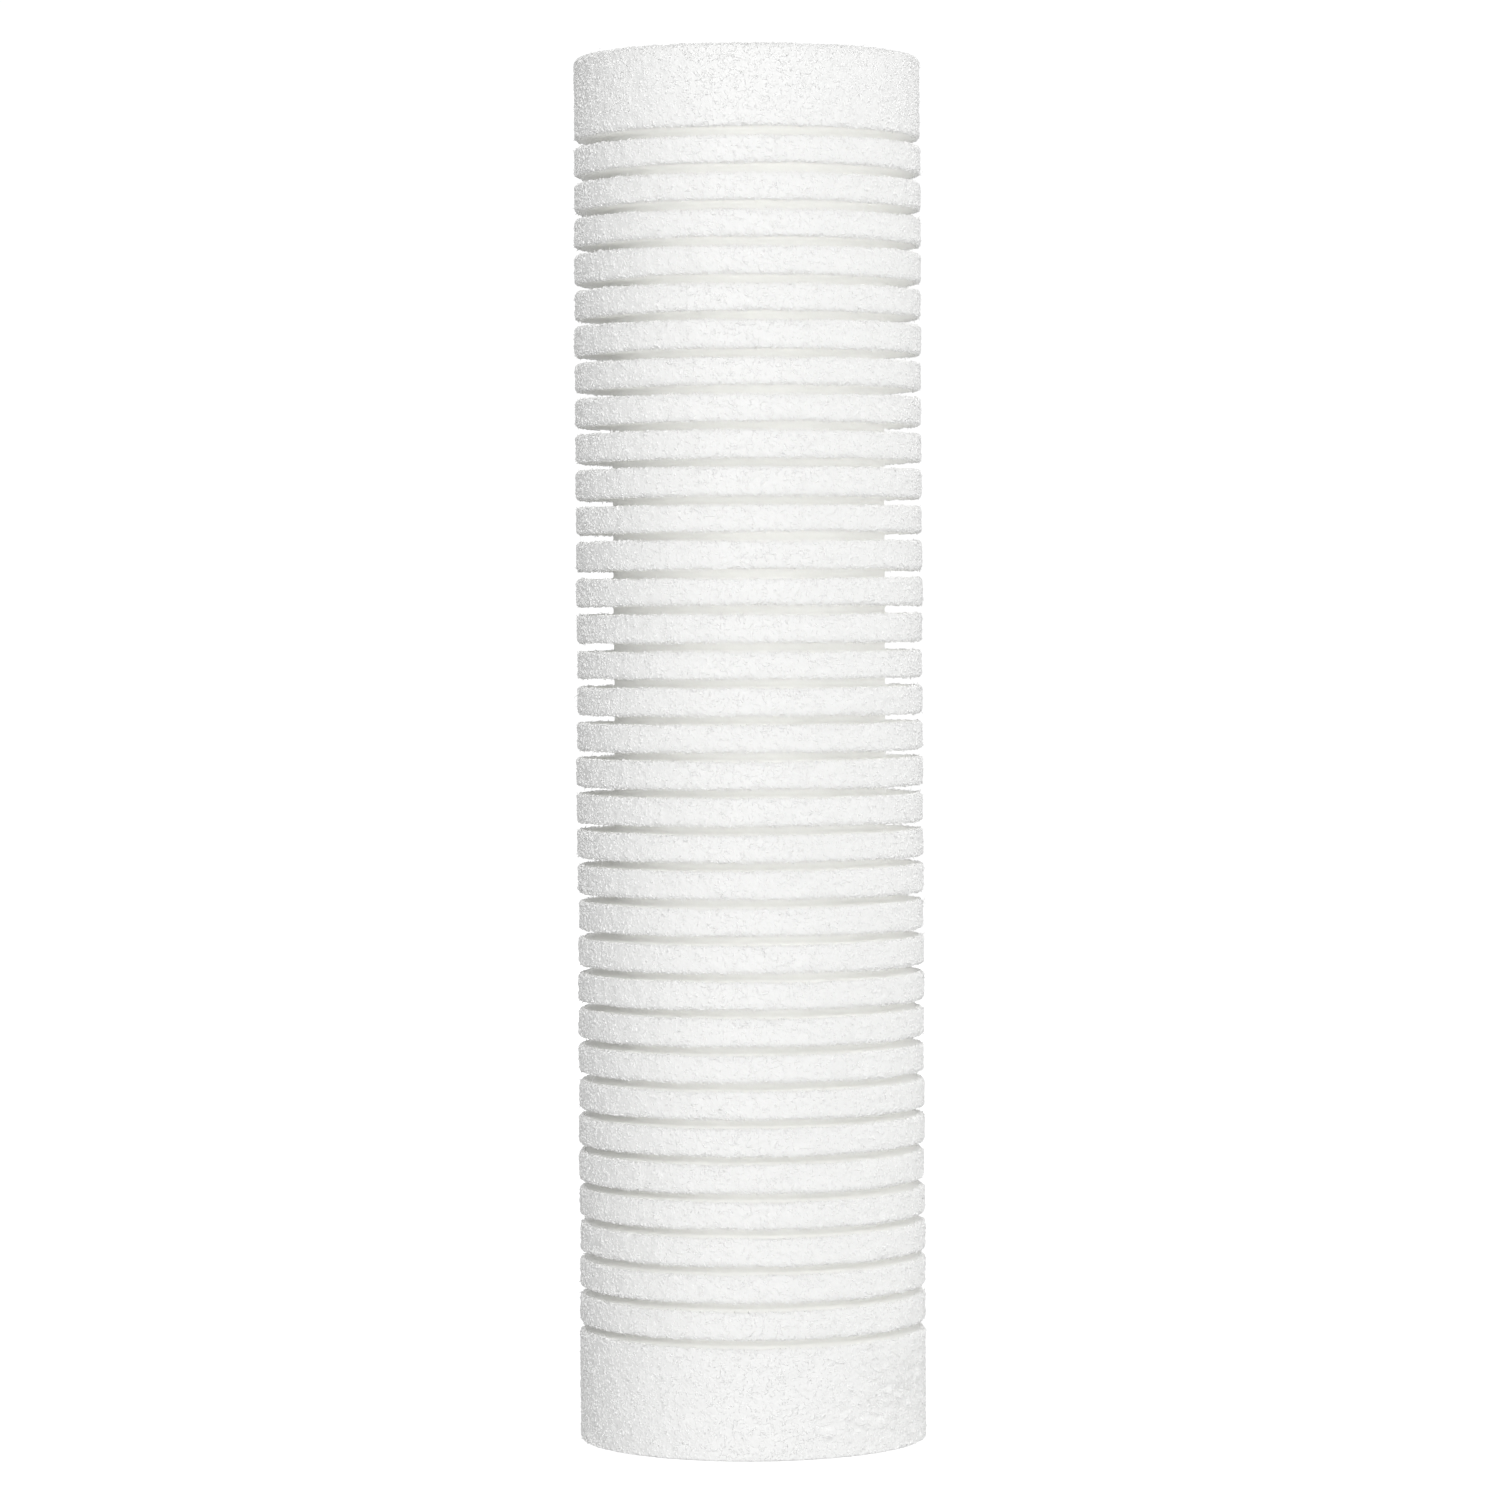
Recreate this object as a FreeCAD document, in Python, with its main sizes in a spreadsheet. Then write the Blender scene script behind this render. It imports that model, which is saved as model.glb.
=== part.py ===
"""Grooved sediment cartridge: the replaceable element of a drinking water filter housing.

The cartridge is a thick tube of polypropylene micro-fibre, blown on in concentric layers around a
fused core that carries the load. Deep ring grooves in the outermost layer enlarge its face. It
stands on its lower end, with the axis of its bore on Z and the middle of that end at the origin.
"""

import FreeCAD, Part
import os
import Sketcher

# Driving dimensions, all in millimetres apart from the groove count.
DIMENSIONS = (
    ("cartridge_length", 254.0),  # the ten-inch length of a standard housing
    ("outer_diameter", 63.5),  # two and a half inches across the fins
    ("bore_diameter", 28.0),  # open from end to end, over the housing's spigots
    ("core_thickness", 2.6),  # coarse fibre fused into a rigid tube
    ("fine_thickness", 3.6),  # the densest filtering layer, next to the core
    ("middle_thickness", 3.8),  # a looser layer around the fine one
    ("groove_count", 34),
    ("groove_width", 1.6),
    ("groove_depth", 6.75),
    ("top_band", 14.7),  # plain length above the highest groove
    ("bottom_band", 20.2),  # plain length below the lowest groove
    ("end_rounding", 1.0),  # outer edge of each end face
    ("bore_rounding", 0.5),  # where the bore meets each end face
    ("fin_rounding", 0.6),  # both edges of each fin
    ("floor_rounding", 0.4),  # both corners of each groove's floor
    ("mouth_overrun", 1.0),  # how far the grooves' cutting section reaches past the fins
)

# Radii of the faces between the layers, as spreadsheet expressions, from the bore outwards.
BORE_RADIUS = "Dimensions.bore_diameter / 2"
CORE_RADIUS = f"{BORE_RADIUS} + Dimensions.core_thickness"
FINE_RADIUS = f"{CORE_RADIUS} + Dimensions.fine_thickness"
MIDDLE_RADIUS = f"{FINE_RADIUS} + Dimensions.middle_thickness"
OUTER_RADIUS = "Dimensions.outer_diameter / 2"

ORIGIN = (-1, 1)  # the sketch's own origin point, as a constraint names it
START, END, CENTRE = 1, 2, 3  # the points of a line or an arc, as a constraint names them
PARTS_FOLDER = "parts"


def make_sheet(document):
    """The spreadsheet that holds every driving dimension under its alias."""
    sheet = document.addObject("Spreadsheet::Sheet", "Dimensions")
    for row, (alias, value) in enumerate(DIMENSIONS, start=1):
        sheet.set(f"A{row}", alias.replace("_", " "))
        sheet.set(f"B{row}", str(value))
        sheet.setAlias(f"B{row}", alias)
    document.recompute()
    return sheet


def make_body(document, label):
    body = document.addObject("PartDesign::Body", label)
    body.Label = label
    return body


def origin_feature(body, role):
    return next(f for f in body.Origin.OriginFeatures if f.Role == role)


def section_sketch(body, name):
    """An empty sketch on the body's XZ plane: its x is the radius and its y is the height."""
    sketch = body.newObject("Sketcher::SketchObject", name)
    sketch.AttachmentSupport = [(origin_feature(body, "XZ_Plane"), "")]
    sketch.MapMode = "FlatFace"
    return sketch


def make_arc(start, end, centre, clockwise):
    """The arc between two points; it is stored counter-clockwise, so a clockwise one is turned."""
    circle = Part.Circle(centre, FreeCAD.Vector(0, 0, 1), (start - centre).Length)
    first, last = (end, start) if clockwise else (start, end)
    return Part.ArcOfCircle(circle, circle.parameter(first), circle.parameter(last))


def draw_loop(sketch, points, arcs=(), smooth=()):
    """Draws the closed outline through the points, where side i runs from point i to the next.

    arcs maps a side to the (centre, clockwise) of the arc that it is instead of a line. smooth
    lists the sides that run on tangentially into the side after them.
    """
    arcs = dict(arcs)
    vectors = [FreeCAD.Vector(x, y, 0) for x, y in points]
    ends = []
    for side, start in enumerate(vectors):
        end = vectors[(side + 1) % len(vectors)]
        clockwise = False
        if side in arcs:
            (x, y), clockwise = arcs[side]
            sketch.addGeometry(make_arc(start, end, FreeCAD.Vector(x, y, 0), clockwise), False)
        else:
            sketch.addGeometry(Part.LineSegment(start, end), False)
        ends.append((END, START) if clockwise else (START, END))
    for side in range(len(vectors)):
        following = (side + 1) % len(vectors)
        kind = "Tangent" if side in smooth else "Coincident"
        joint = (side, ends[side][1], following, ends[following][0])
        sketch.addConstraint(Sketcher.Constraint(kind, *joint))


def level(sketch, horizontal, vertical):
    """Keeps the listed sides of a section square to the axis or parallel to it."""
    for side in horizontal:
        sketch.addConstraint(Sketcher.Constraint("Horizontal", side))
    for side in vertical:
        sketch.addConstraint(Sketcher.Constraint("Vertical", side))


def bind(sketch, name, expression, kind, *places):
    """Adds a dimension to the sketch and drives it from the spreadsheet."""
    index = sketch.addConstraint(Sketcher.Constraint(kind, *places))
    sketch.renameConstraint(index, name)
    sketch.setExpression(f"Constraints.{name}", expression)


def revolve(body, sketch, kind, name):
    """A full turn of the section about Z: a Revolution adds it and a Groove cuts it."""
    feature = body.newObject(kind, name)
    feature.Profile = sketch
    feature.ReferenceAxis = (sketch, ["V_Axis"])
    feature.Angle = 360.0
    sketch.Visibility = False
    return feature


def add_tube(body, inner_radius, outer_radius):
    """A plain tube of the cartridge's full length between two radii."""
    sketch = section_sketch(body, f"{body.Label}_section")
    inner, outer, length = 15.0, 30.0, 250.0  # a rough start, which the sheet then drives
    draw_loop(sketch, [(inner, 0.0), (outer, 0.0), (outer, length), (inner, length)])
    bottom, outside, top, inside = range(4)
    level(sketch, horizontal=(bottom, top), vertical=(outside, inside))
    sketch.addConstraint(Sketcher.Constraint("PointOnObject", bottom, START, -1))
    bind(sketch, "inner_radius", inner_radius, "DistanceX", *ORIGIN, bottom, START, inner)
    bind(sketch, "outer_radius", outer_radius, "DistanceX", *ORIGIN, bottom, END, outer)
    length_expression = "Dimensions.cartridge_length"
    bind(sketch, "length", length_expression, "DistanceY", outside, START, outside, END, length)
    return revolve(body, sketch, "PartDesign::Revolution", f"{body.Label}_tube")


def round_ends(document, body, tube, rounding, pick):
    """Rounds the circles where both end faces meet the outermost (max) or innermost (min) wall."""
    document.recompute()
    circles = {
        f"Edge{number}": edge.Curve.Radius
        for number, edge in enumerate(tube.Shape.Edges, start=1)
        if isinstance(edge.Curve, Part.Circle)
    }
    wanted = pick(circles.values())
    fillet = body.newObject("PartDesign::Fillet", f"{body.Label}_rounding")
    fillet.Base = (tube, [name for name, radius in circles.items() if radius == wanted])
    fillet.setExpression("Radius", rounding)
    return fillet


def draw_groove_section(sketch, sheet):
    """The lowest groove: a floor with rounded corners, and a mouth flared by the fins' rounding."""
    outer = sheet.outer_diameter / 2
    floor = outer - sheet.groove_depth
    low = sheet.bottom_band
    high = low + sheet.groove_width
    corner = sheet.floor_rounding
    edge = sheet.fin_rounding
    past = outer + sheet.mouth_overrun
    points = [
        (floor, high - corner),
        (floor, low + corner),
        (floor + corner, low),
        (outer - edge, low),
        (outer, low - edge),
        (past, low - edge),
        (past, high + edge),
        (outer, high + edge),
        (outer - edge, high),
        (floor + corner, high),
    ]
    arcs = {
        1: ((floor + corner, low + corner), False),
        3: ((outer - edge, low - edge), True),
        7: ((outer - edge, high + edge), True),
        9: ((floor + corner, high - corner), False),
    }
    draw_loop(sketch, points, arcs, smooth=(0, 1, 2, 7, 8, 9))


def constrain_groove_section(sketch, sheet):
    """Ties the groove's section to the spreadsheet."""
    floor, low_corner, low_wall, low_edge, low_lip = range(5)
    mouth, high_lip, high_edge, high_wall, high_corner = range(5, 10)
    level(
        sketch,
        horizontal=(low_wall, low_lip, high_lip, high_wall),
        vertical=(floor, mouth),
    )
    for kind, *places in (
        ("Horizontal", low_edge, CENTRE, low_edge, START),
        ("Horizontal", high_edge, CENTRE, high_edge, END),
        ("Vertical", low_lip, START, high_lip, END),
        ("Equal", low_corner, high_corner),
        ("Equal", low_edge, high_edge),
    ):
        sketch.addConstraint(Sketcher.Constraint(kind, *places))
    outer = sheet.outer_diameter / 2
    inner = outer - sheet.groove_depth
    depth = f"{OUTER_RADIUS} - Dimensions.groove_depth"
    bind(sketch, "floor_radius", depth, "DistanceX", *ORIGIN, floor, END, inner)
    bind(sketch, "fin_radius", OUTER_RADIUS, "DistanceX", *ORIGIN, low_lip, START, outer)
    for name, alias, kind, places in (
        ("overrun", "mouth_overrun", "DistanceX", (low_lip, START, low_lip, END)),
        ("lowest", "bottom_band", "DistanceY", (*ORIGIN, low_wall, START)),
        ("width", "groove_width", "DistanceY", (low_wall, END, high_wall, START)),
        ("floor_corner", "floor_rounding", "Radius", (low_corner,)),
        ("fin_edge", "fin_rounding", "Radius", (low_edge,)),
    ):
        bind(sketch, name, f"Dimensions.{alias}", kind, *places, getattr(sheet, alias))


def cut_grooves(body, sheet):
    """Cuts the lowest groove and repeats it upwards at an even pitch, up to the top band."""
    sketch = section_sketch(body, "groove_section")
    draw_groove_section(sketch, sheet)
    constrain_groove_section(sketch, sheet)
    groove = revolve(body, sketch, "PartDesign::Groove", "lowest_groove")
    pattern = body.newObject("PartDesign::LinearPattern", "grooves")
    pattern.Originals = [groove]
    pattern.Direction = (origin_feature(body, "Z_Axis"), [""])
    rise = "cartridge_length - Dimensions.top_band - Dimensions.bottom_band"
    pattern.setExpression("Length", f"Dimensions.{rise} - Dimensions.groove_width")
    pattern.setExpression("Occurrences", "Dimensions.groove_count")
    body.Tip = pattern
    return pattern


def make_support_core(document):
    """The innermost tube: coarse fibre fused stiff, whose inside wall is the cartridge's bore."""
    body = make_body(document, "support_core")
    tube = add_tube(body, BORE_RADIUS, CORE_RADIUS)
    round_ends(document, body, tube, "Dimensions.bore_rounding", min)
    return body


def make_plain_layer(document, label, inner_radius, outer_radius):
    """A filtering layer between two others."""
    body = make_body(document, label)
    add_tube(body, inner_radius, outer_radius)
    return body


def make_grooved_outer_layer(document, sheet):
    """The coarse layer that meets the water first, cut into fins that stand on a thin web."""
    body = make_body(document, "grooved_outer_layer")
    tube = add_tube(body, MIDDLE_RADIUS, OUTER_RADIUS)
    round_ends(document, body, tube, "Dimensions.end_rounding", max)
    cut_grooves(body, sheet)
    return body


def square_groove_volume(sheet):
    """What the grooves would take out of the layer if their corners weren't rounded."""
    outer = sheet.outer_diameter / 2
    slot = Part.makeCylinder(outer, sheet.groove_width)
    left = Part.makeCylinder(outer - sheet.groove_depth, sheet.groove_width)
    return sheet.groove_count * (slot.Volume - left.Volume)


def check_grooves(body, sheet):
    """Stops if the grooves didn't cut: rounding changes their volume by about one percent."""
    uncut = next(f for f in body.Group if f.TypeId == "PartDesign::Fillet")
    taken = (uncut.Shape.Volume - body.Shape.Volume) / square_groove_volume(sheet)
    if not 0.98 < taken < 1.03:
        raise RuntimeError(f"the grooves take {taken:.2f} of their volume")


def check_model(document, bodies):
    """Stops with a plain message if an object has failed or a sub-part isn't one sound solid."""
    for item in document.Objects:
        if {"Invalid", "Error"} & set(item.State):
            raise RuntimeError(f"{item.Name} failed: {item.State}")
        if item.isDerivedFrom("Sketcher::SketchObject") and not item.FullyConstrained:
            raise RuntimeError(f"{item.Name} isn't fully constrained")
    for body in bodies:
        shape = body.Shape
        if shape.isNull() or not shape.isValid() or len(shape.Solids) != 1:
            raise RuntimeError(f"{body.Label} is not one valid solid")


def main():
    document = FreeCAD.newDocument("grooved_cartridge")
    sheet = make_sheet(document)
    outer_layer = make_grooved_outer_layer(document, sheet)
    bodies = [
        make_support_core(document),
        make_plain_layer(document, "fine_layer", CORE_RADIUS, FINE_RADIUS),
        make_plain_layer(document, "middle_layer", FINE_RADIUS, MIDDLE_RADIUS),
        outer_layer,
    ]
    document.recompute()
    check_model(document, bodies)
    check_grooves(outer_layer, sheet)
    os.makedirs(PARTS_FOLDER, exist_ok=True)
    for body in bodies:
        body.Shape.exportStep(os.path.join(PARTS_FOLDER, f"{body.Label}.step"))
        print(f"{body.Label}: {body.Shape.Volume / 1000:.1f} cm3")


main()
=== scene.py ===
"""Looks of the grooved sediment cartridge: blown-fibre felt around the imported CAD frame.

Sizes are in metres. Every layer is rebuilt as an uneven, felted mesh in the place of its CAD solid.
Short half-buried fibres, fibre ends and long strands are added to what shows.
"""

import math
from typing import NamedTuple

import bpy
import numpy as np
from mathutils import Euler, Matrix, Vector, noise

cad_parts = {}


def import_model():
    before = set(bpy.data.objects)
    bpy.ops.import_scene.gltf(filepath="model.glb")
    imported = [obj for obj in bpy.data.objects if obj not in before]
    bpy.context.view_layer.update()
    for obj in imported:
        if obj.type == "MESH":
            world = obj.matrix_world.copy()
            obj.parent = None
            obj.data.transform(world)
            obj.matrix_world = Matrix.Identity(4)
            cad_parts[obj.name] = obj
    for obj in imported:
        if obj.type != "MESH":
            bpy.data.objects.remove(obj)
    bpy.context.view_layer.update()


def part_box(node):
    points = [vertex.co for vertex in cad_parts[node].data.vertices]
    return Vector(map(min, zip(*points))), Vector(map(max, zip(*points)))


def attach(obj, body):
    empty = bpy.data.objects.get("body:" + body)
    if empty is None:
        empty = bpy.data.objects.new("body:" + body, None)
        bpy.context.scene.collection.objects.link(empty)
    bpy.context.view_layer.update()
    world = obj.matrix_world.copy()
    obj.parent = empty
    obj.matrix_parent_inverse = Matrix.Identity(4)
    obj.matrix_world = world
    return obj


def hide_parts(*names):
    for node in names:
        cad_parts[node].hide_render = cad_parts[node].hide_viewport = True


MM = 0.001
SEED = 11
WHITE = (1, 1, 1, 1)

CORE_WALL = 2.6 * MM

# The grooves, as the CAD layer has them.
GROOVE_COUNT = 34
GROOVE_WIDTH = 1.6 * MM
GROOVE_DEPTH = 6.75 * MM
TOP_BAND = 14.7 * MM
BOTTOM_BAND = 20.2 * MM

END_ROUNDING = 1.0 * MM
FOOT_ROUNDING = 0.4 * MM  # sharper, as the felt is pressed flat where the cartridge stands
BORE_ROUNDING = 0.5 * MM
FIN_ROUNDING = 0.75 * MM
FLOOR_ROUNDING = 0.4 * MM
LAYER_ROUNDING = 0.15 * MM  # the faint dip between two layers on an end face

# How finely the meshes are divided: around the cartridge, then along each stretch of a section.
OUTER_COLUMNS = 448
INNER_COLUMNS = 176
OUTSIDE_STEP = 0.42 * MM
END_FACE_STEPS = 7
END_EDGE_STEPS = 4
FOOT_EDGE_STEPS = 3
FIN_EDGE_STEPS = 3
GROOVE_SIDE_STEPS = 4
FLOOR_CORNER_STEPS = 1
FLOOR_STEPS = 2
BORE_WALL_STEPS = 190
HIDDEN_WALL_STEPS = 2  # along a wall between two layers
INNER_FACE_STEPS = 5
INNER_EDGE_STEPS = 3
LAYER_EDGE_STEPS = 2

# How uneven the felt is: size of the feature, then how far it moves the surface.
BULGE_SIZE, BULGE_REACH = 34 * MM, 0.16 * MM
LUMP_SIZE, LUMP_REACH = 2.4 * MM, 0.12 * MM
GRAIN_SIZE, GRAIN_REACH = 0.85 * MM, 0.12 * MM
LUMP_OCTAVES = 2
FRACTAL_INCREMENT, LACUNARITY = 0.9, 2.0
FLOOR_LUMPS = 0.45  # the share of the lumps that a groove's floor has
FLATTENED = 1.6  # lumps are this much longer around the cartridge than they are high
UNDERSIDE = -0.9  # a surface that points further down than this is pressed flat
END_FACE_TILT = 0.5  # a surface that points more than this up or down is an end face

CUT_SHIFT = 0.07 * MM  # how far a whole cut edge lies off its place
CUT_WAVER = 0.045 * MM  # and how far it wavers as it goes round
CUT_WAVES = (2, 60)  # the fewest and the most wavers in a round
CUT_FADE = 2.4 * MM  # how far into the fin's face the waver reaches
FIN_SWELL = 0.09 * MM  # how much larger or smaller a fin is than its neighbours
FIN_WAVES = (1, 5)

# A patch near the foot where handling has pulled the felt up. Angles are to the right of the front.
PATCH_ANGLE = math.radians(54)
PATCH_HEIGHT = 10.5 * MM
PATCH_SIZE = 7 * MM
PATCH_LUMP_SIZE, PATCH_REACH = 1.5 * MM, 0.4 * MM

# Short creases through the patch, along a line that climbs to the right.
CREASE_COUNT = 13
CREASE_FROM = (math.radians(29), 5.5 * MM)
CREASE_TO = (math.radians(76), 15.0 * MM)
CREASE_SCATTER = (math.radians(3.5), 1.3 * MM)
CREASE_SIZES = (0.6, 1.15)  # the smallest and the largest, against the size given here
CREASE_HALF_LENGTH, CREASE_HALF_WIDTH = 1.15 * MM, 0.8 * MM
CREASE_DEPTH = 1.5 * MM

# Short fibres that lie half buried in the outside: their size, and how far from a mesh point.
NUB_COUNT = 130000
NUB_SIZE, NUB_SPREAD = 0.145 * MM, 0.25 * MM
NUB_MARGIN = 0.8 * MM  # how far in from the outside they reach, over the rounded edges
NUB_FOOT = 0.2 * MM  # there are none lower than this
NUB_WIDTHS = (0.75, 1.25)  # the least and the most, in nub sizes
NUB_LENGTHS = (1.8, 3.6)  # in widths
NUB_HEIGHTS = (0.84, 1.56)  # in widths

# The same on the upper end face, where they are finer.
END_NUB_DENSITY = 5 / MM**2
END_NUB_SIZE, END_NUB_SPREAD = 0.13 * MM, 0.45 * MM
END_NUB_DEPTH = 0.25 * MM

LOOSE_LIMIT = 0.6 * MM  # how far loose fibre may stand off the cartridge
LOOSE_FOOT = 0.1 * MM  # and how low it may hang
LENGTH_SHAPE = 4.0  # the gamma distribution's, for the lengths of loose fibres

FLOOR_RADIUS = 1.5
FLOOR_SIDES = 96
FLOOR_GLOW = 0.5
LIGHT_BELOW, LIGHT_ABOVE = 0.55, 0.32  # white all round, brighter from the pale floor
LIGHT_BLEND = (-0.5, 0.5)  # from how far down to how far up the one turns into the other
SEEN_WHITE = 1.05  # the white that the camera sees behind the floor

# Each light: its name, place, width and height, and watts.
LIGHTS = (
    ("key", (0.03, -2.47, 0.91), (1.1, 0.5), 36.3),
    ("fill", (0.03, -2.5, 0.13), (0.5, 0.5), 2),
    ("side", (1.4, 0.6, 0.4), (0.9, 0.9), 8.5),
    ("back", (-0.3, 1.7, 1.15), (0.9, 0.9), 12),
)

CAMERA_DISTANCE = 1.014
CAMERA_HEIGHT = 0.1536
CAMERA_PITCH = math.radians(1.503)
CAMERA_ROLL = math.radians(-0.3)  # the cartridge leans a little to the left
LENS_MM = 131.84
SENSOR_MM = 36


class Fibres(NamedTuple):
    """One kind of loose fibre on the outside."""

    count: int
    margin: float  # how far in from the outside it grows
    rise: tuple  # the least and the most that it stands up
    scatter: tuple  # how far its heading turns aside, along each axis
    length: float  # the scale of its length
    least: float  # what is added to every length
    thickness: tuple  # the least and the most at its root
    curl: float
    steps: int


FUZZ = Fibres(
    count=20000,
    margin=1.2 * MM,
    rise=(0.5, 1.2),
    scatter=(0.45, 0.45, 0.45),
    length=0.07 * MM,
    least=0.12 * MM,
    thickness=(0.06 * MM, 0.13 * MM),
    curl=0.4,
    steps=2,
)
FUZZ_SPREAD = 0.3 * MM
FUZZ_NEAR = 0.9 * MM  # within this of a cut edge there is more of it
FUZZ_ELSEWHERE = 0.35  # the chance away from the cut edges, which 1 is added to along them

STRANDS = Fibres(
    count=620,
    margin=0.5 * MM,
    rise=(0.0, 0.25),
    scatter=(0.2, 0.2, 0.5),
    length=0.6 * MM,
    least=0.8 * MM,
    thickness=(0.03 * MM, 0.06 * MM),
    curl=0.22,
    steps=7,
)
STRANDS_IN_PATCH = 260  # how many times likelier a strand is in the middle of the patch


class Felt(NamedTuple):
    """How one felt looks."""

    name: str
    colour: tuple
    pit_shade: tuple  # the colour in its pits: painted shade, darker and warmer where the relief is low
    grain: float  # the size of its grains
    relief: float  # how high they stand
    roughness: float
    scatter: float  # how far light goes inside it
    through: float  # the share of the light that does


OUTER_FELT = Felt(
    name="outer_felt",
    colour=(0.992, 0.992, 0.986),
    pit_shade=(0.98, 0.98, 0.972),
    grain=0.6 * MM,
    relief=0.25 * MM,
    roughness=0.8,
    scatter=0.9 * MM,
    through=0.0,
)
MIDDLE_FELT = Felt(
    name="middle_felt",
    colour=(0.988, 0.988, 0.983),
    pit_shade=(0.97, 0.97, 0.963),
    grain=0.4 * MM,
    relief=0.5 * MM,
    roughness=0.82,
    scatter=0.8 * MM,
    through=0.5,
)
FINE_FELT = Felt(
    name="fine_felt",
    colour=(0.99, 0.99, 0.986),
    pit_shade=(0.98, 0.98, 0.975),
    grain=0.3 * MM,
    relief=0.3 * MM,
    roughness=0.85,
    scatter=0.7 * MM,
    through=0.5,
)
FUSED_CORE = Felt(
    name="fused_core",
    colour=(0.955, 0.955, 0.945),
    pit_shade=(0.89, 0.89, 0.88),
    grain=0.7 * MM,
    relief=1.0 * MM,
    roughness=0.42,
    scatter=0.9 * MM,
    through=0.5,
)
LOOSE_FIBRE = Felt(
    name="loose_fibre",
    colour=(0.99, 0.99, 0.985),
    pit_shade=(0.985, 0.985, 0.98),
    grain=0.2 * MM,
    relief=0.01 * MM,
    roughness=0.6,
    scatter=0.3 * MM,
    through=0.0,
)
FELTS = (OUTER_FELT, MIDDLE_FELT, FINE_FELT, FUSED_CORE, LOOSE_FIBRE)

# Fibres are laid both ways round a turning cartridge: radians for each metre of height.
LAY_LEFT, LAY_RIGHT = 40.0, -46.0
LAY_STRETCH = 5.0  # how much longer a laid fibre is than it is wide
CLUMP = 0.14  # the frequency of the clumps, against the grains
FIBRE_SHARE, CLUMP_SHARE = 0.5, 2.2  # in the relief, where the grains have 1
TONE_SPAN = (0.7, 1.2)  # from the pits, which take the painted shade, to the tops of grains and clumps
PIT_ROUGHNESS = 0.08  # what the pits are rougher by
# The grain's relief fades from here in towards the groove floors.
FULL_RELIEF_RADIUS, LOW_RELIEF_RADIUS = 31 * MM, 27.5 * MM
LOW_RELIEF = 0.2
SPECULAR = 0.2
SCATTER_COLOUR = (1.0, 1.0, 0.94)


class Layer(NamedTuple):
    """A layer inside the outer one, with the CAD node and the slot that it stands for."""

    name: str
    node: str
    slot: str
    rounding: float  # of its inner edges
    wall_steps: int  # mesh steps along its inner wall
    lumps: float  # how far its lumps move the surface


INNER_LAYERS = (  # from the outside inwards
    Layer("middle_felt", "middle_layer", "middle_fibre", LAYER_ROUNDING, HIDDEN_WALL_STEPS, 0.10 * MM),
    Layer("fine_felt", "fine_layer", "fine_fibre", LAYER_ROUNDING, HIDDEN_WALL_STEPS, 0.07 * MM),
    Layer("fused_core", "support_core", "fused_core_fibre", BORE_ROUNDING, BORE_WALL_STEPS, 0.16 * MM),
)


# ---------------------------------------------------------------- sections of the layers


def straight(start, end, steps):
    """Points from start up to, but not including, end."""
    shares = np.arange(steps)[:, None] / steps
    return [tuple(p) for p in np.array(start) + (np.array(end) - start) * shares]


def bend(centre, size, start_deg, end_deg, steps):
    """Points along an arc up to, but not including, its end."""
    angles = np.radians(start_deg + (end_deg - start_deg) * np.arange(steps) / steps)
    return [(centre[0] + size * math.cos(a), centre[1] + size * math.sin(a)) for a in angles]


def groove_heights(length):
    """The heights of every groove's lower edge."""
    rise = length - TOP_BAND - BOTTOM_BAND - GROOVE_WIDTH
    return BOTTOM_BAND + rise * np.arange(GROOVE_COUNT) / (GROOVE_COUNT - 1)


def cut_edges(length):
    """The heights of all cut edges, two to a groove."""
    lows = groove_heights(length)
    return np.sort(np.concatenate([lows, lows + GROOVE_WIDTH]))


def groove_section(outer, low):
    """One groove, from the lower fin's edge, in over the floor and out to the upper fin's edge."""
    high = low + GROOVE_WIDTH
    edge = outer - FIN_ROUNDING
    floor = outer - GROOVE_DEPTH
    corner = floor + FLOOR_ROUNDING
    floor_low, floor_high = low + FLOOR_ROUNDING, high - FLOOR_ROUNDING
    points = bend((edge, low - FIN_ROUNDING), FIN_ROUNDING, 0, 90, FIN_EDGE_STEPS)
    points += straight((edge, low), (corner, low), GROOVE_SIDE_STEPS)
    points += bend((corner, floor_low), FLOOR_ROUNDING, 270, 180, FLOOR_CORNER_STEPS)
    points += straight((floor, floor_low), (floor, floor_high), FLOOR_STEPS)
    points += bend((corner, floor_high), FLOOR_ROUNDING, 180, 90, FLOOR_CORNER_STEPS)
    points += straight((corner, high), (edge, high), GROOVE_SIDE_STEPS)
    points += bend((edge, high + FIN_ROUNDING), FIN_ROUNDING, 270, 360, FIN_EDGE_STEPS)
    return points


def outer_section(inner, outer, length):
    """The outer layer's section, with the felt on the left of the way round it."""
    shoulder = outer - END_ROUNDING
    foot = outer - FOOT_ROUNDING
    points = straight((inner, 0), (foot, 0), END_FACE_STEPS)
    points += bend((foot, FOOT_ROUNDING), FOOT_ROUNDING, -90, 0, FOOT_EDGE_STEPS)
    reached = FOOT_ROUNDING
    for low in groove_heights(length):
        mouth = low - FIN_ROUNDING
        steps = round((mouth - reached) / OUTSIDE_STEP)
        points += straight((outer, reached), (outer, mouth), steps)
        points += groove_section(outer, low)
        reached = low + GROOVE_WIDTH + FIN_ROUNDING
    top = length - END_ROUNDING
    points += straight((outer, reached), (outer, top), round((top - reached) / OUTSIDE_STEP))
    points += bend((shoulder, top), END_ROUNDING, 0, 90, END_EDGE_STEPS)
    points += straight((shoulder, length), (inner, length), END_FACE_STEPS)
    points += straight((inner, length), (inner, 0), HIDDEN_WALL_STEPS)
    return np.array(points)


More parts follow.
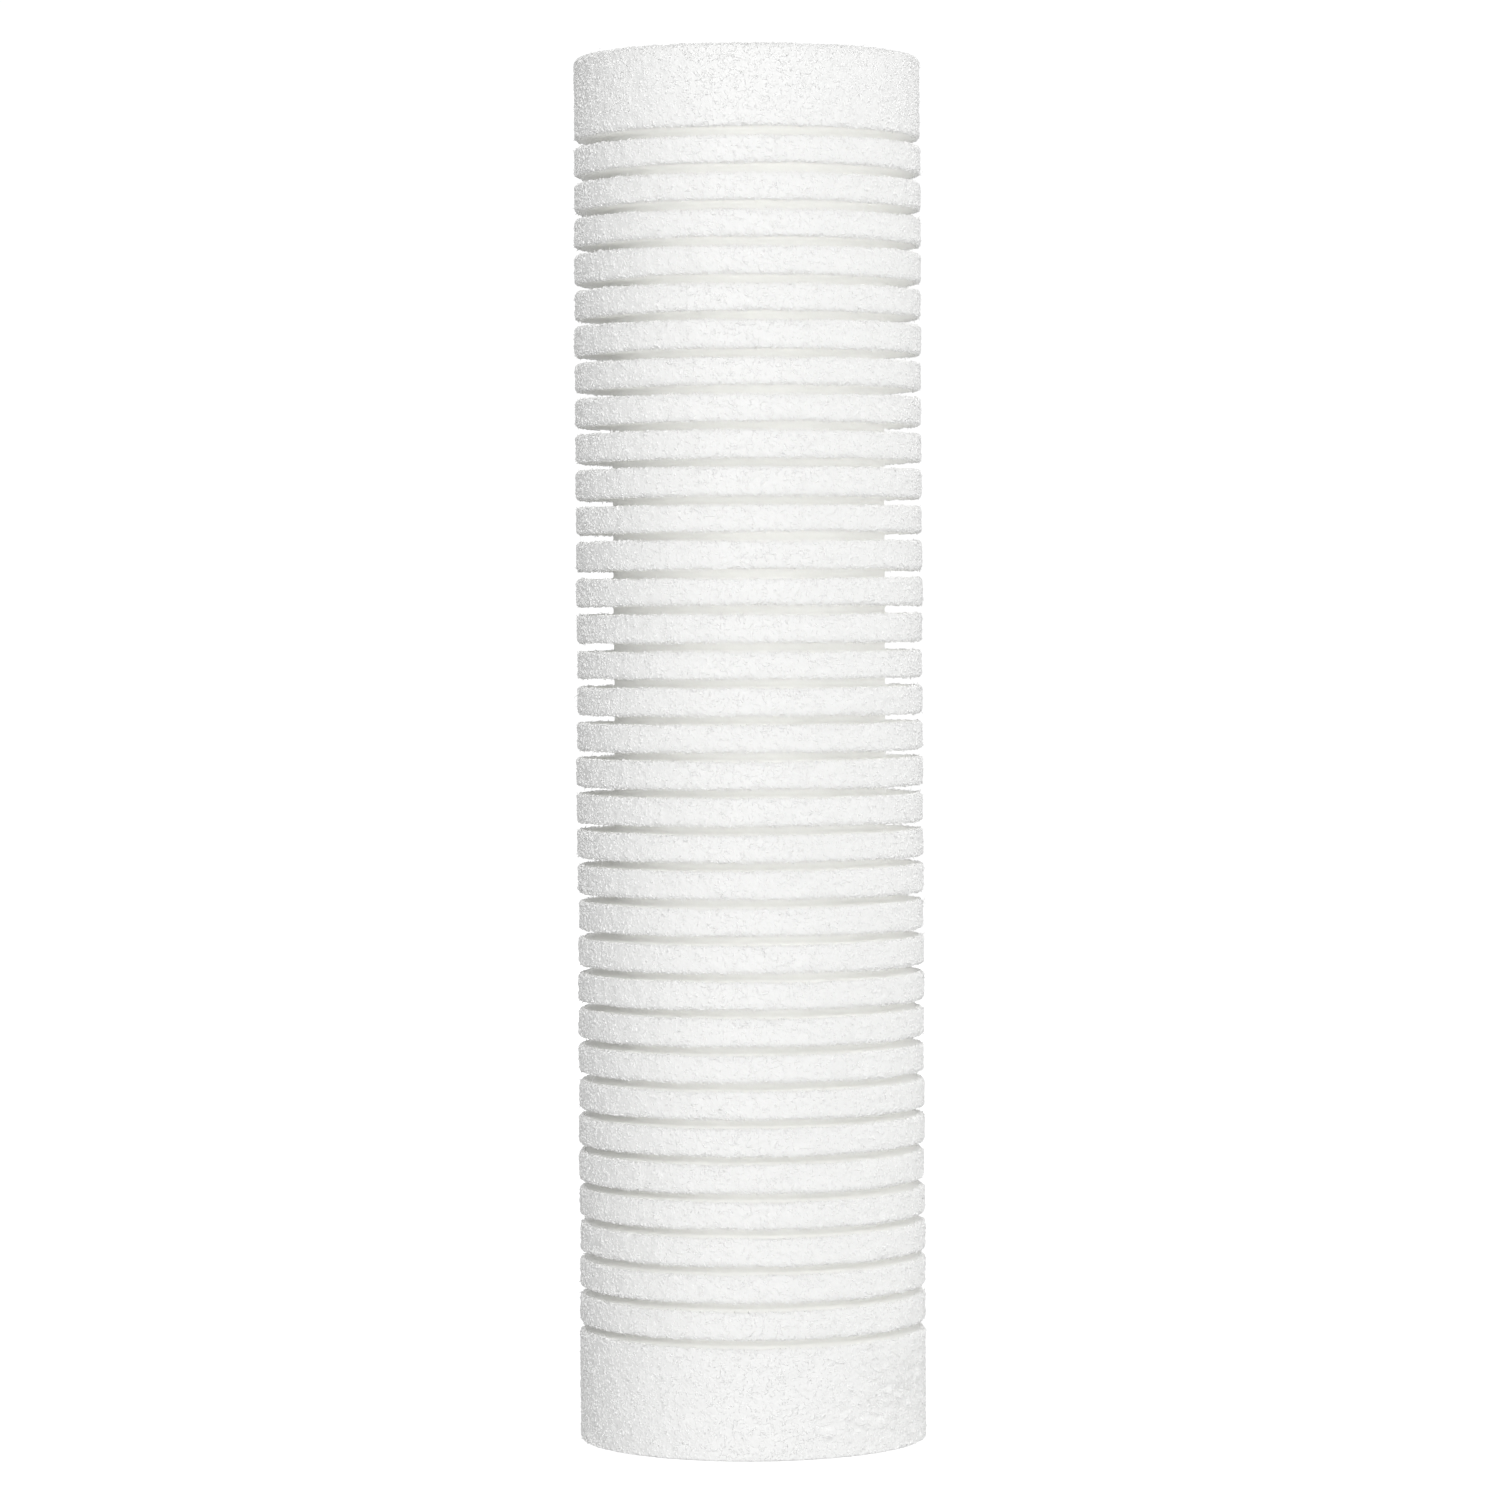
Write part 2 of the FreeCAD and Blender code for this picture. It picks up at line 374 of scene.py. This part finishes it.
def layer_section(inner, outer, length, inner_rounding, wall_steps):
    """The section of a layer inside the outer one; its end faces dip a little at their edges."""
    inside = inner + inner_rounding
    outside = outer - LAYER_ROUNDING
    low_in, low_out = inner_rounding, LAYER_ROUNDING
    high_in, high_out = length - inner_rounding, length - LAYER_ROUNDING
    points = bend((inside, low_in), inner_rounding, 180, 270, INNER_EDGE_STEPS)
    points += straight((inside, 0), (outside, 0), INNER_FACE_STEPS)
    points += bend((outside, low_out), LAYER_ROUNDING, 270, 360, LAYER_EDGE_STEPS)
    points += straight((outer, low_out), (outer, high_out), HIDDEN_WALL_STEPS)
    points += bend((outside, high_out), LAYER_ROUNDING, 0, 90, LAYER_EDGE_STEPS)
    points += straight((outside, length), (inside, length), INNER_FACE_STEPS)
    points += bend((inside, high_in), inner_rounding, 90, 180, INNER_EDGE_STEPS)
    points += straight((inner, high_in), (inner, low_in), wall_steps)
    return np.array(points)


def outward(section):
    """The outward direction at each point of a section."""
    along = np.roll(section, -1, axis=0) - np.roll(section, 1, axis=0)
    along /= np.linalg.norm(along, axis=1)[:, None]
    return np.column_stack([along[:, 1], -along[:, 0]])


# ---------------------------------------------------------------- felt


def ring_waves(rng, rows, columns, fewest, most):
    """Rows of smooth random waves that close on themselves, each with a typical size of 1."""
    angles = 2 * np.pi * np.arange(columns) / columns
    waves = np.zeros((rows, columns))
    for number in range(fewest, most + 1):
        share = rng.normal(size=(rows, 2, 1)) / math.sqrt(number)
        waves += share[:, 0] * np.cos(number * angles) + share[:, 1] * np.sin(number * angles)
    return waves / waves.std()


def spin(radii, heights):
    """The points of a section turned about Z; each row of the arrays is a ring."""
    columns = radii.shape[1]
    angles = 2 * np.pi * np.arange(columns) / columns
    return np.stack([radii * np.cos(angles), radii * np.sin(angles), heights], axis=2)


def lumpiness(points, size, octaves):
    """Fractal noise at every point of a grid, with lumps that lie flat."""
    scaled = points.reshape(-1, 3) / size * (1, 1, FLATTENED)
    values = [noise.fractal(Vector(p), FRACTAL_INCREMENT, LACUNARITY, octaves) for p in scaled]
    return np.array(values).reshape(points.shape[:2])


def cut_waver(edge_count, rng):
    """How far each cut edge lies off its place, all the way round."""
    waver = ring_waves(rng, edge_count, OUTER_COLUMNS, *CUT_WAVES) * CUT_WAVER
    return waver + rng.normal(size=(edge_count // 2, 1)).repeat(2, axis=0) * CUT_SHIFT


def cut_pull(away):
    """How much a ring follows its nearest cut edge, from 0 to 1, by how far away it is."""
    pull = np.clip(1 - away / CUT_FADE, 0, 1)[:, None]
    return pull * pull * (3 - 2 * pull)


def fin_swell(fin_count, rng):
    """How much larger or smaller each fin is, all the way round."""
    swell = ring_waves(rng, fin_count, OUTER_COLUMNS, *FIN_WAVES) * FIN_SWELL / 2
    return swell + rng.normal(size=(fin_count, 1)) * FIN_SWELL / 2


def patch_share(points, outer):
    """How much each point belongs to the pulled patch, from 0 to 1."""
    side, front = outer * math.sin(PATCH_ANGLE), outer * math.cos(PATCH_ANGLE)
    away = np.linalg.norm(points - (side, -front, PATCH_HEIGHT), axis=-1) / PATCH_SIZE
    return np.exp(-away * away)


def crease_relief(points, outer, rng):
    """Creases pressed into the patch, each with the felt pushed up below it."""
    angle = np.arctan2(points[..., 0], -points[..., 1])
    height = points[..., 2]
    relief = np.zeros(angle.shape)
    for share in np.linspace(0, 1, CREASE_COUNT):
        place = np.array(CREASE_FROM) * (1 - share) + np.array(CREASE_TO) * share
        place = place + rng.normal(size=2) * CREASE_SCATTER
        size = rng.uniform(*CREASE_SIZES)
        side = (angle - place[0]) * outer / (CREASE_HALF_LENGTH * size)
        rise = (height - place[1]) / (CREASE_HALF_WIDTH * size)
        relief -= rise * np.exp(-side * side - rise * rise) * size
    return relief * CREASE_DEPTH


def felt_reach(even, out, outer, rng):
    """How far the felt stands off its even surface; out is 0 on a groove's floor and 1 outside."""
    reach = lumpiness(even, BULGE_SIZE, 1) * BULGE_REACH
    lumps = lumpiness(even, LUMP_SIZE, LUMP_OCTAVES) * LUMP_REACH
    reach += lumps * (FLOOR_LUMPS + (1 - FLOOR_LUMPS) * out)
    reach += lumpiness(even, GRAIN_SIZE, 1) * GRAIN_REACH * out
    rough = np.abs(lumpiness(even, PATCH_LUMP_SIZE, 2)) * PATCH_REACH
    reach += rough * patch_share(even, outer) * out
    return reach + crease_relief(even, outer, rng) * out


def outer_points(inner, outer, length, rng):
    """The grid of the felted outer layer: lumps, wavering cuts, uneven fins and the pulled patch."""
    section = outer_section(inner, outer, length)
    normal = outward(section)
    radius, height = section[:, :1], section[:, 1:]
    lows, edges = groove_heights(length), cut_edges(length)
    nearest = np.abs(height - edges).argmin(axis=1)
    pull = cut_pull(np.abs(height[:, 0] - edges[nearest])) * (radius > inner)
    waver = cut_waver(len(edges), rng)
    fin = np.searchsorted(lows + GROOVE_WIDTH / 2, height[:, 0])
    swell = fin_swell(len(lows) + 1, rng)
    out = np.clip((radius - outer) / GROOVE_DEPTH + 1, 0, 1)
    even = spin(np.tile(radius, OUTER_COLUMNS), np.tile(height, OUTER_COLUMNS))
    reach = felt_reach(even, out, outer, rng) * (radius > inner) * (normal[:, 1:] > UNDERSIDE)
    radii = radius + normal[:, :1] * reach + swell[fin] * out
    heights = height + normal[:, 1:] * reach + waver[nearest] * pull
    return spin(radii, np.maximum(heights, 0.0))


def inner_points(section, bore_radius, lumps):
    """The grid of a layer that shows only at its ends and, in the core, along the bore."""
    normal = outward(section)
    radius, height = section[:, :1], section[:, 1:]
    even = spin(np.tile(radius, INNER_COLUMNS), np.tile(height, INNER_COLUMNS))
    shows = (np.abs(normal[:, 1:]) > END_FACE_TILT) | (radius <= bore_radius)
    reach = lumpiness(even, LUMP_SIZE / 2, LUMP_OCTAVES) * lumps * shows
    radii = radius + normal[:, :1] * reach
    heights = height + normal[:, 1:] * reach
    return spin(radii, np.clip(heights, height.min(), height.max()))


def new_piece(name, points, faces):
    """A smooth object of those points and faces."""
    mesh = bpy.data.meshes.new(name)
    mesh.from_pydata(np.reshape(points, (-1, 3)).tolist(), [], faces)
    mesh.shade_smooth()
    piece = bpy.data.objects.new(name, mesh)
    bpy.context.scene.collection.objects.link(piece)
    return piece


def mesh_from_rings(name, points):
    """A closed, ring-shaped mesh from a grid of points: rows round the section, columns round Z."""
    rows, columns = points.shape[:2]
    index = np.arange(rows * columns).reshape(rows, columns)
    ahead = np.roll(index, -1, axis=1)
    corners = [index, ahead, np.roll(ahead, -1, axis=0), np.roll(index, -1, axis=0)]
    quads = np.stack(corners, axis=2).reshape(-1, 4)
    return new_piece(name, points, quads.tolist())


# ---------------------------------------------------------------- loose fibres


def unit(vectors):
    """The same directions with a length of 1."""
    return vectors / np.linalg.norm(vectors, axis=-1, keepdims=True)


def distance_out(points):
    """How far points are from the axis."""
    return np.hypot(points[..., 0], points[..., 1])


def mesh_of_copies(name, points, faces):
    """One mesh of many small bodies: a row of points for each body, the same faces for all."""
    points[..., 2] = np.maximum(points[..., 2], 0.0)
    count, size = points.shape[:2]
    every = [
        tuple(corner + body * size for corner in face) for body in range(count) for face in faces
    ]
    return new_piece(name, points, every)


def hold_in(points, outer, length):
    """Keeps points close to the cartridge and clear of the floor."""
    points[..., :2] *= np.minimum(1, (outer + LOOSE_LIMIT) / distance_out(points))[..., None]
    points[..., 2] = np.clip(points[..., 2], LOOSE_FOOT, length + LOOSE_LIMIT)


def wander(roots, headings, lengths, curl, steps, rng):
    """Lines that leave their roots along their headings and turn a little at every step."""
    line = np.empty((len(roots), steps + 1, 3))
    line[:, 0] = roots
    heading = unit(headings)
    for step in range(steps):
        line[:, step + 1] = line[:, step] + heading * (lengths / steps)[:, None]
        heading = unit(heading + rng.normal(size=roots.shape) * curl)
    return line


def fibre_faces(steps):
    """The faces of a three-sided fibre with a closed root and a pointed tip."""
    tip = 3 * steps
    faces = [(2, 1, 0)]
    for step in range(steps):
        for side in range(3):
            here, beside = 3 * step + side, 3 * step + (side + 1) % 3
            last = step == steps - 1
            faces.append((here, beside, tip) if last else (here, beside, beside + 3, here + 3))
    return faces


def fibre_mesh(name, line, thickness, rng):
    """Thin closed fibres around lines of points; each ends in a point."""
    count, steps = len(line), line.shape[1] - 1
    along = unit(np.gradient(line, axis=1))
    across = unit(np.cross(along, rng.normal(size=(count, 1, 3))))
    upright = np.cross(along, across)
    taper = np.sqrt(1 - np.arange(steps) / steps)[None, :, None, None]
    angles = 2 * np.pi * np.arange(3)[:, None] / 3
    ring = np.cos(angles) * across[:, :-1, None] + np.sin(angles) * upright[:, :-1, None]
    ring = line[:, :-1, None] + ring * taper * thickness[:, None, None, None]
    points = np.concatenate([ring.reshape(count, -1, 3), line[:, -1:]], axis=1)
    return mesh_of_copies(name, points, fibre_faces(steps))


def surface(piece):
    """The vertices of a piece, and the surface's direction at each."""
    points = np.empty(len(piece.data.vertices) * 3)
    piece.data.vertices.foreach_get("co", points)
    normals = np.array([v.vector for v in piece.data.vertex_normals])
    return points.reshape(-1, 3), normals


def pick(points, normals, chance, count, rng):
    """Random ones of these points, by chance, with the direction at each."""
    chosen = rng.choice(len(points), count, p=chance / chance.sum())
    return points[chosen], normals[chosen]


def nub_mesh(name, roots, normals, spread, size, rng):
    """Short fibres that lie half buried in the felt: each a small closed spindle."""
    count = len(roots)
    along = unit(np.cross(normals, rng.normal(size=roots.shape)))
    across = np.cross(normals, along)
    shift = rng.uniform(-spread, spread, (count, 2, 1))
    roots = roots + along * shift[:, 0] + across * shift[:, 1]
    width = rng.uniform(*NUB_WIDTHS, (count, 1)) * size
    ahead = along * width * rng.uniform(*NUB_LENGTHS, (count, 1))
    aside = across * width
    above = normals * width * rng.uniform(*NUB_HEIGHTS, (count, 1))
    offsets = np.stack([ahead, aside, -ahead, -aside, above, -above], axis=1)
    faces = []
    for corner in range(4):
        following = (corner + 1) % 4
        faces += [(corner, following, 4), (following, corner, 5)]
    return mesh_of_copies(name, roots[:, None] + offsets, faces)


def add_side_nubs(outer_piece, outer, rng):
    """Nubs all over the outside, but not on the end faces."""
    points, normals = surface(outer_piece)
    chance = (distance_out(points) > outer - NUB_MARGIN) * (points[:, 2] > NUB_FOOT)
    roots, normals = pick(points, normals, chance, NUB_COUNT, rng)
    return nub_mesh("side_nubs", roots, normals, NUB_SPREAD, NUB_SIZE, rng)


def add_end_nubs(name, piece, inside, outside, length, rng):
    """Finer nubs on a layer's upper end face, where the knife has cut it."""
    points, normals = surface(piece)
    chance = distance_out(points) * (points[:, 2] > length - END_NUB_DEPTH)
    count = round(END_NUB_DENSITY * math.pi * (outside**2 - inside**2))
    roots, normals = pick(points, normals, chance, count, rng)
    return nub_mesh(name, roots, normals, END_NUB_SPREAD, END_NUB_SIZE, rng)


def grow(name, kind, roots, headings, outer, length, rng):
    """Loose fibres of one kind, from their roots along their headings."""
    lengths = rng.gamma(LENGTH_SHAPE, kind.length, kind.count) + kind.least
    thickness = rng.uniform(*kind.thickness, kind.count)
    line = wander(roots, headings, lengths, kind.curl, kind.steps, rng)
    hold_in(line, outer, length)
    return fibre_mesh(name, line, thickness, rng)


def add_fuzz(outer_piece, outer, length, rng):
    """Short fibre ends all over the outside, thickest along the cut edges of the fins."""
    points, normals = surface(outer_piece)
    outside = distance_out(points) > outer - FUZZ.margin
    near = np.abs(points[:, 2:] - cut_edges(length)).min(axis=1) < FUZZ_NEAR
    chance = outside * (FUZZ_ELSEWHERE + near)
    roots, normals = pick(points, normals, chance, FUZZ.count, rng)
    roots = roots + rng.normal(size=roots.shape) * FUZZ_SPREAD * (1 - np.abs(normals))
    upright = rng.uniform(*FUZZ.rise, (FUZZ.count, 1))
    headings = normals * upright + rng.normal(size=roots.shape) * FUZZ.scatter
    return grow("fibre_ends", FUZZ, roots, headings, outer, length, rng)


def add_strands(outer_piece, outer, length, rng):
    """Longer strands that lie over the fins and hang across the grooves."""
    points, normals = surface(outer_piece)
    outside = distance_out(points) > outer - STRANDS.margin
    chance = outside * (1 + STRANDS_IN_PATCH * patch_share(points, outer))
    roots, normals = pick(points, normals, chance, STRANDS.count, rng)
    around = np.cross(normals, (0, 0, 1.0))
    side = rng.choice((-1.0, 1.0), (STRANDS.count, 1))
    headings = around * side + normals * rng.uniform(*STRANDS.rise, (STRANDS.count, 1))
    headings = headings + rng.normal(size=roots.shape) * STRANDS.scatter
    return grow("loose_strands", STRANDS, roots, headings, outer, length, rng)


# ---------------------------------------------------------------- materials


class Nodes:
    """A short way to write the nodes of a material or of the world."""

    def __init__(self, owner):
        owner.use_nodes = True
        self.tree = owner.node_tree

    def add(self, kind, links=None, **settings):
        """A node of that kind; links maps its inputs to sockets or to plain values."""
        node = self.tree.nodes.new("ShaderNode" + kind)
        for key, value in settings.items():
            setattr(node, key, value)
        for key, value in (links or {}).items():
            self.feed(node.inputs[key], value)
        return node

    def feed(self, socket, value):
        """Gives an input a link or a plain value."""
        if isinstance(value, bpy.types.NodeSocket):
            self.tree.links.new(value, socket)
        else:
            socket.default_value = value

    def math(self, operation, first, second=0.0):
        return self.add("Math", {0: first, 1: second}, operation=operation).outputs[0]

    def noise(self, vector, scale, detail=3.0, roughness=0.6, distortion=0.0):
        links = {
            "Vector": vector,
            "Scale": scale,
            "Detail": detail,
            "Roughness": roughness,
            "Distortion": distortion,
        }
        return self.add("TexNoise", links).outputs["Fac"]

    def span(self, value, low, high, new_low=0.0, new_high=1.0):
        """Maps a value from one range to another."""
        links = {0: value, 1: low, 2: high, 3: new_low, 4: new_high}
        return self.add("MapRange", links).outputs[0]


def laid_fibres(nodes, place, twist, fibre_size):
    """Noise drawn out along a helix about Z, as fibres are laid on a turning cartridge."""
    height = nodes.add("SeparateXYZ", {0: place}).outputs["Z"]
    angle = nodes.math("MULTIPLY", height, twist)
    links = {"Vector": place, "Angle": angle}
    turned = nodes.add("VectorRotate", links, rotation_type="Z_AXIS").outputs[0]
    links = {0: turned, 1: (1.0, 1.0, 1 / LAY_STRETCH)}
    drawn = nodes.add("VectorMath", links, operation="MULTIPLY").outputs[0]
    return nodes.noise(drawn, 1 / fibre_size, detail=2.0, roughness=0.5, distortion=0.3)


def relief_strength(nodes, place):
    """Full strength for the relief on the outside, little on the floors of the grooves."""
    across = nodes.add("VectorMath", {0: place, 1: (1.0, 1.0, 0.0)}, operation="MULTIPLY").outputs[0]
    radius = nodes.add("VectorMath", {0: across}, operation="LENGTH").outputs["Value"]
    return nodes.span(radius, LOW_RELIEF_RADIUS, FULL_RELIEF_RADIUS, LOW_RELIEF, 1.0)


def felt_material(felt):
    """Blown-fibre felt: fine grains under crossing fibres, with painted shade that makes it a little
    darker and warmer in its pits.
    """
    material = bpy.data.materials.new(felt.name)
    nodes = Nodes(material)
    place = nodes.add("TexCoord").outputs["Object"]
    left = laid_fibres(nodes, place, LAY_LEFT, felt.grain)
    right = laid_fibres(nodes, place, LAY_RIGHT, felt.grain)
    fibres = nodes.math("MAXIMUM", left, right)
    grains = nodes.noise(place, 1 / felt.grain)
    clumps = nodes.noise(place, CLUMP / felt.grain)
    height = nodes.math("ADD", nodes.math("MULTIPLY", fibres, FIBRE_SHARE), grains)
    height = nodes.math("ADD", height, nodes.math("MULTIPLY", clumps, CLUMP_SHARE))
    strength = relief_strength(nodes, place)
    bump = nodes.add("Bump", {"Height": height, "Strength": strength, "Distance": felt.relief})
    tone = nodes.span(nodes.math("ADD", grains, clumps), *TONE_SPAN)
    # Painted shade: the ramp gives the low grains and clumps of the relief a darker, warmer colour
    # than their tops.
    ramp = nodes.add("ValToRGB", {0: tone})
    ramp.color_ramp.elements[0].color = (*felt.pit_shade, 1)
    ramp.color_ramp.elements[1].color = (*felt.colour, 1)
    roughness = nodes.span(tone, 0.0, 1.0, felt.roughness + PIT_ROUGHNESS, felt.roughness)
    inputs = nodes.tree.nodes["Principled BSDF"].inputs
    nodes.feed(inputs["Base Color"], ramp.outputs[0])
    nodes.feed(inputs["Normal"], bump.outputs[0])
    nodes.feed(inputs["Roughness"], roughness)
    inputs["Specular IOR Level"].default_value = SPECULAR
    inputs["Subsurface Weight"].default_value = felt.through
    inputs["Subsurface Radius"].default_value = SCATTER_COLOUR
    inputs["Subsurface Scale"].default_value = felt.scatter
    return material


def dress(piece, material):
    """Gives a piece its material and its place in the part."""
    piece.data.materials.append(material)
    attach(piece, "root")


# ---------------------------------------------------------------- the cartridge


def build_cartridge(length, radii, rng):
    """All visible pieces, from the outside inwards; radii run from the bore outwards."""
    materials = {felt.name: felt_material(felt) for felt in FELTS}
    loose = materials["loose_fibre"]
    bore, _, _, middle, outer = radii
    grid = outer_points(middle, outer, length, rng)
    outer_piece = mesh_from_rings("grooved_felt", grid)
    dress(outer_piece, materials["outer_felt"])
    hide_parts("grooved_outer_layer")
    for layer, inside, outside in zip(INNER_LAYERS, radii[2::-1], radii[3:0:-1]):
        section = layer_section(inside, outside, length, layer.rounding, layer.wall_steps)
        piece = mesh_from_rings(layer.name, inner_points(section, bore, layer.lumps))
        dress(piece, materials[layer.name])
        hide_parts(layer.node)
        nubs = add_end_nubs(layer.name + "_nubs", piece, inside, outside, length, rng)
        dress(nubs, loose)
    dress(add_side_nubs(outer_piece, outer, rng), loose)
    shoulder = outer - END_ROUNDING
    end_nubs = add_end_nubs("outer_end_nubs", outer_piece, middle, shoulder, length, rng)
    dress(end_nubs, loose)
    dress(add_fuzz(outer_piece, outer, length, rng), loose)
    dress(add_strands(outer_piece, outer, length, rng), loose)


# ---------------------------------------------------------------- stage


def add_floor():
    """A plain pale floor, so evenly lit that it runs into the white behind it."""
    angles = 2 * np.pi * np.arange(FLOOR_SIDES) / FLOOR_SIDES
    rim = [(FLOOR_RADIUS * math.cos(a), FLOOR_RADIUS * math.sin(a), 0) for a in angles]
    floor = new_piece("floor", rim, [tuple(range(len(rim)))])
    material = bpy.data.materials.new("floor_white")
    inputs = Nodes(material).tree.nodes["Principled BSDF"].inputs
    inputs["Base Color"].default_value = (0.9, 0.9, 0.9, 1)
    inputs["Roughness"].default_value = 0.9
    inputs["Specular IOR Level"].default_value = 0.0
    inputs["Emission Color"].default_value = WHITE
    inputs["Emission Strength"].default_value = FLOOR_GLOW
    floor.data.materials.append(material)
    floor.visible_diffuse = False
    floor.visible_glossy = False
    floor.visible_shadow = False


def add_softbox(name, place, size, watts, target):
    """An area light that faces its target; its size is its width and its height."""
    data = bpy.data.lights.new(name, "AREA")
    data.shape = "RECTANGLE"
    data.size, data.size_y = size
    data.energy = watts
    light = bpy.data.objects.new(name, data)
    light.location = place
    light.rotation_euler = (Vector(target) - Vector(place)).to_track_quat("-Z", "Y").to_euler()
    bpy.context.scene.collection.objects.link(light)


def light_world():
    """White all round: one strength for the light it casts, another for what the camera sees."""
    world = bpy.data.worlds.new("studio")
    bpy.context.scene.world = world
    nodes = Nodes(world)
    direction = nodes.add("TexCoord").outputs["Generated"]
    height = nodes.add("SeparateXYZ", {0: direction}).outputs["Z"]
    strength = nodes.span(height, *LIGHT_BLEND, LIGHT_BELOW, LIGHT_ABOVE)
    cast = nodes.tree.nodes["Background"]
    nodes.feed(cast.inputs["Color"], WHITE)
    nodes.feed(cast.inputs["Strength"], strength)
    seen = nodes.add("Background", {"Color": WHITE, "Strength": SEEN_WHITE})
    camera_ray = nodes.add("LightPath").outputs["Is Camera Ray"]
    mix = nodes.add("MixShader", {0: camera_ray, 1: cast.outputs[0], 2: seen.outputs[0]})
    nodes.feed(nodes.tree.nodes["World Output"].inputs["Surface"], mix.outputs[0])


def add_light(length):
    """Soft studio light: white all round, a key in front and above, and weaker lights."""
    for name, place, size, watts in LIGHTS:
        add_softbox(name, place, size, watts, (0, 0, length / 2))
    light_world()
    scene = bpy.context.scene
    scene.view_settings.view_transform = "Standard"
    scene.cycles.diffuse_bounces = 32
    scene.cycles.max_bounces = 40


def add_camera():
    """Level with the upper half of the cartridge and looking a little down at it."""
    data = bpy.data.cameras.new("camera")
    data.lens = LENS_MM
    data.sensor_width = SENSOR_MM
    camera = bpy.data.objects.new("camera", data)
    camera.location = (0, -CAMERA_DISTANCE, CAMERA_HEIGHT)
    level = Euler((math.pi / 2 - CAMERA_PITCH, 0, 0)).to_matrix()
    roll = Euler((0, 0, CAMERA_ROLL)).to_matrix()
    camera.rotation_euler = (level @ roll).to_euler()
    bpy.context.scene.collection.objects.link(camera)
    bpy.context.scene.camera = camera


def main():
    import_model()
    names = ("support_core", "fine_layer", "middle_layer", "grooved_outer_layer")
    boxes = [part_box(name) for name in names]
    length = boxes[-1][1].z
    outsides = [high.x for _, high in boxes]
    radii = (outsides[0] - CORE_WALL, *outsides)
    rng = np.random.default_rng(SEED)
    add_camera()
    build_cartridge(length, radii, rng)
    add_floor()
    add_light(length)


main()
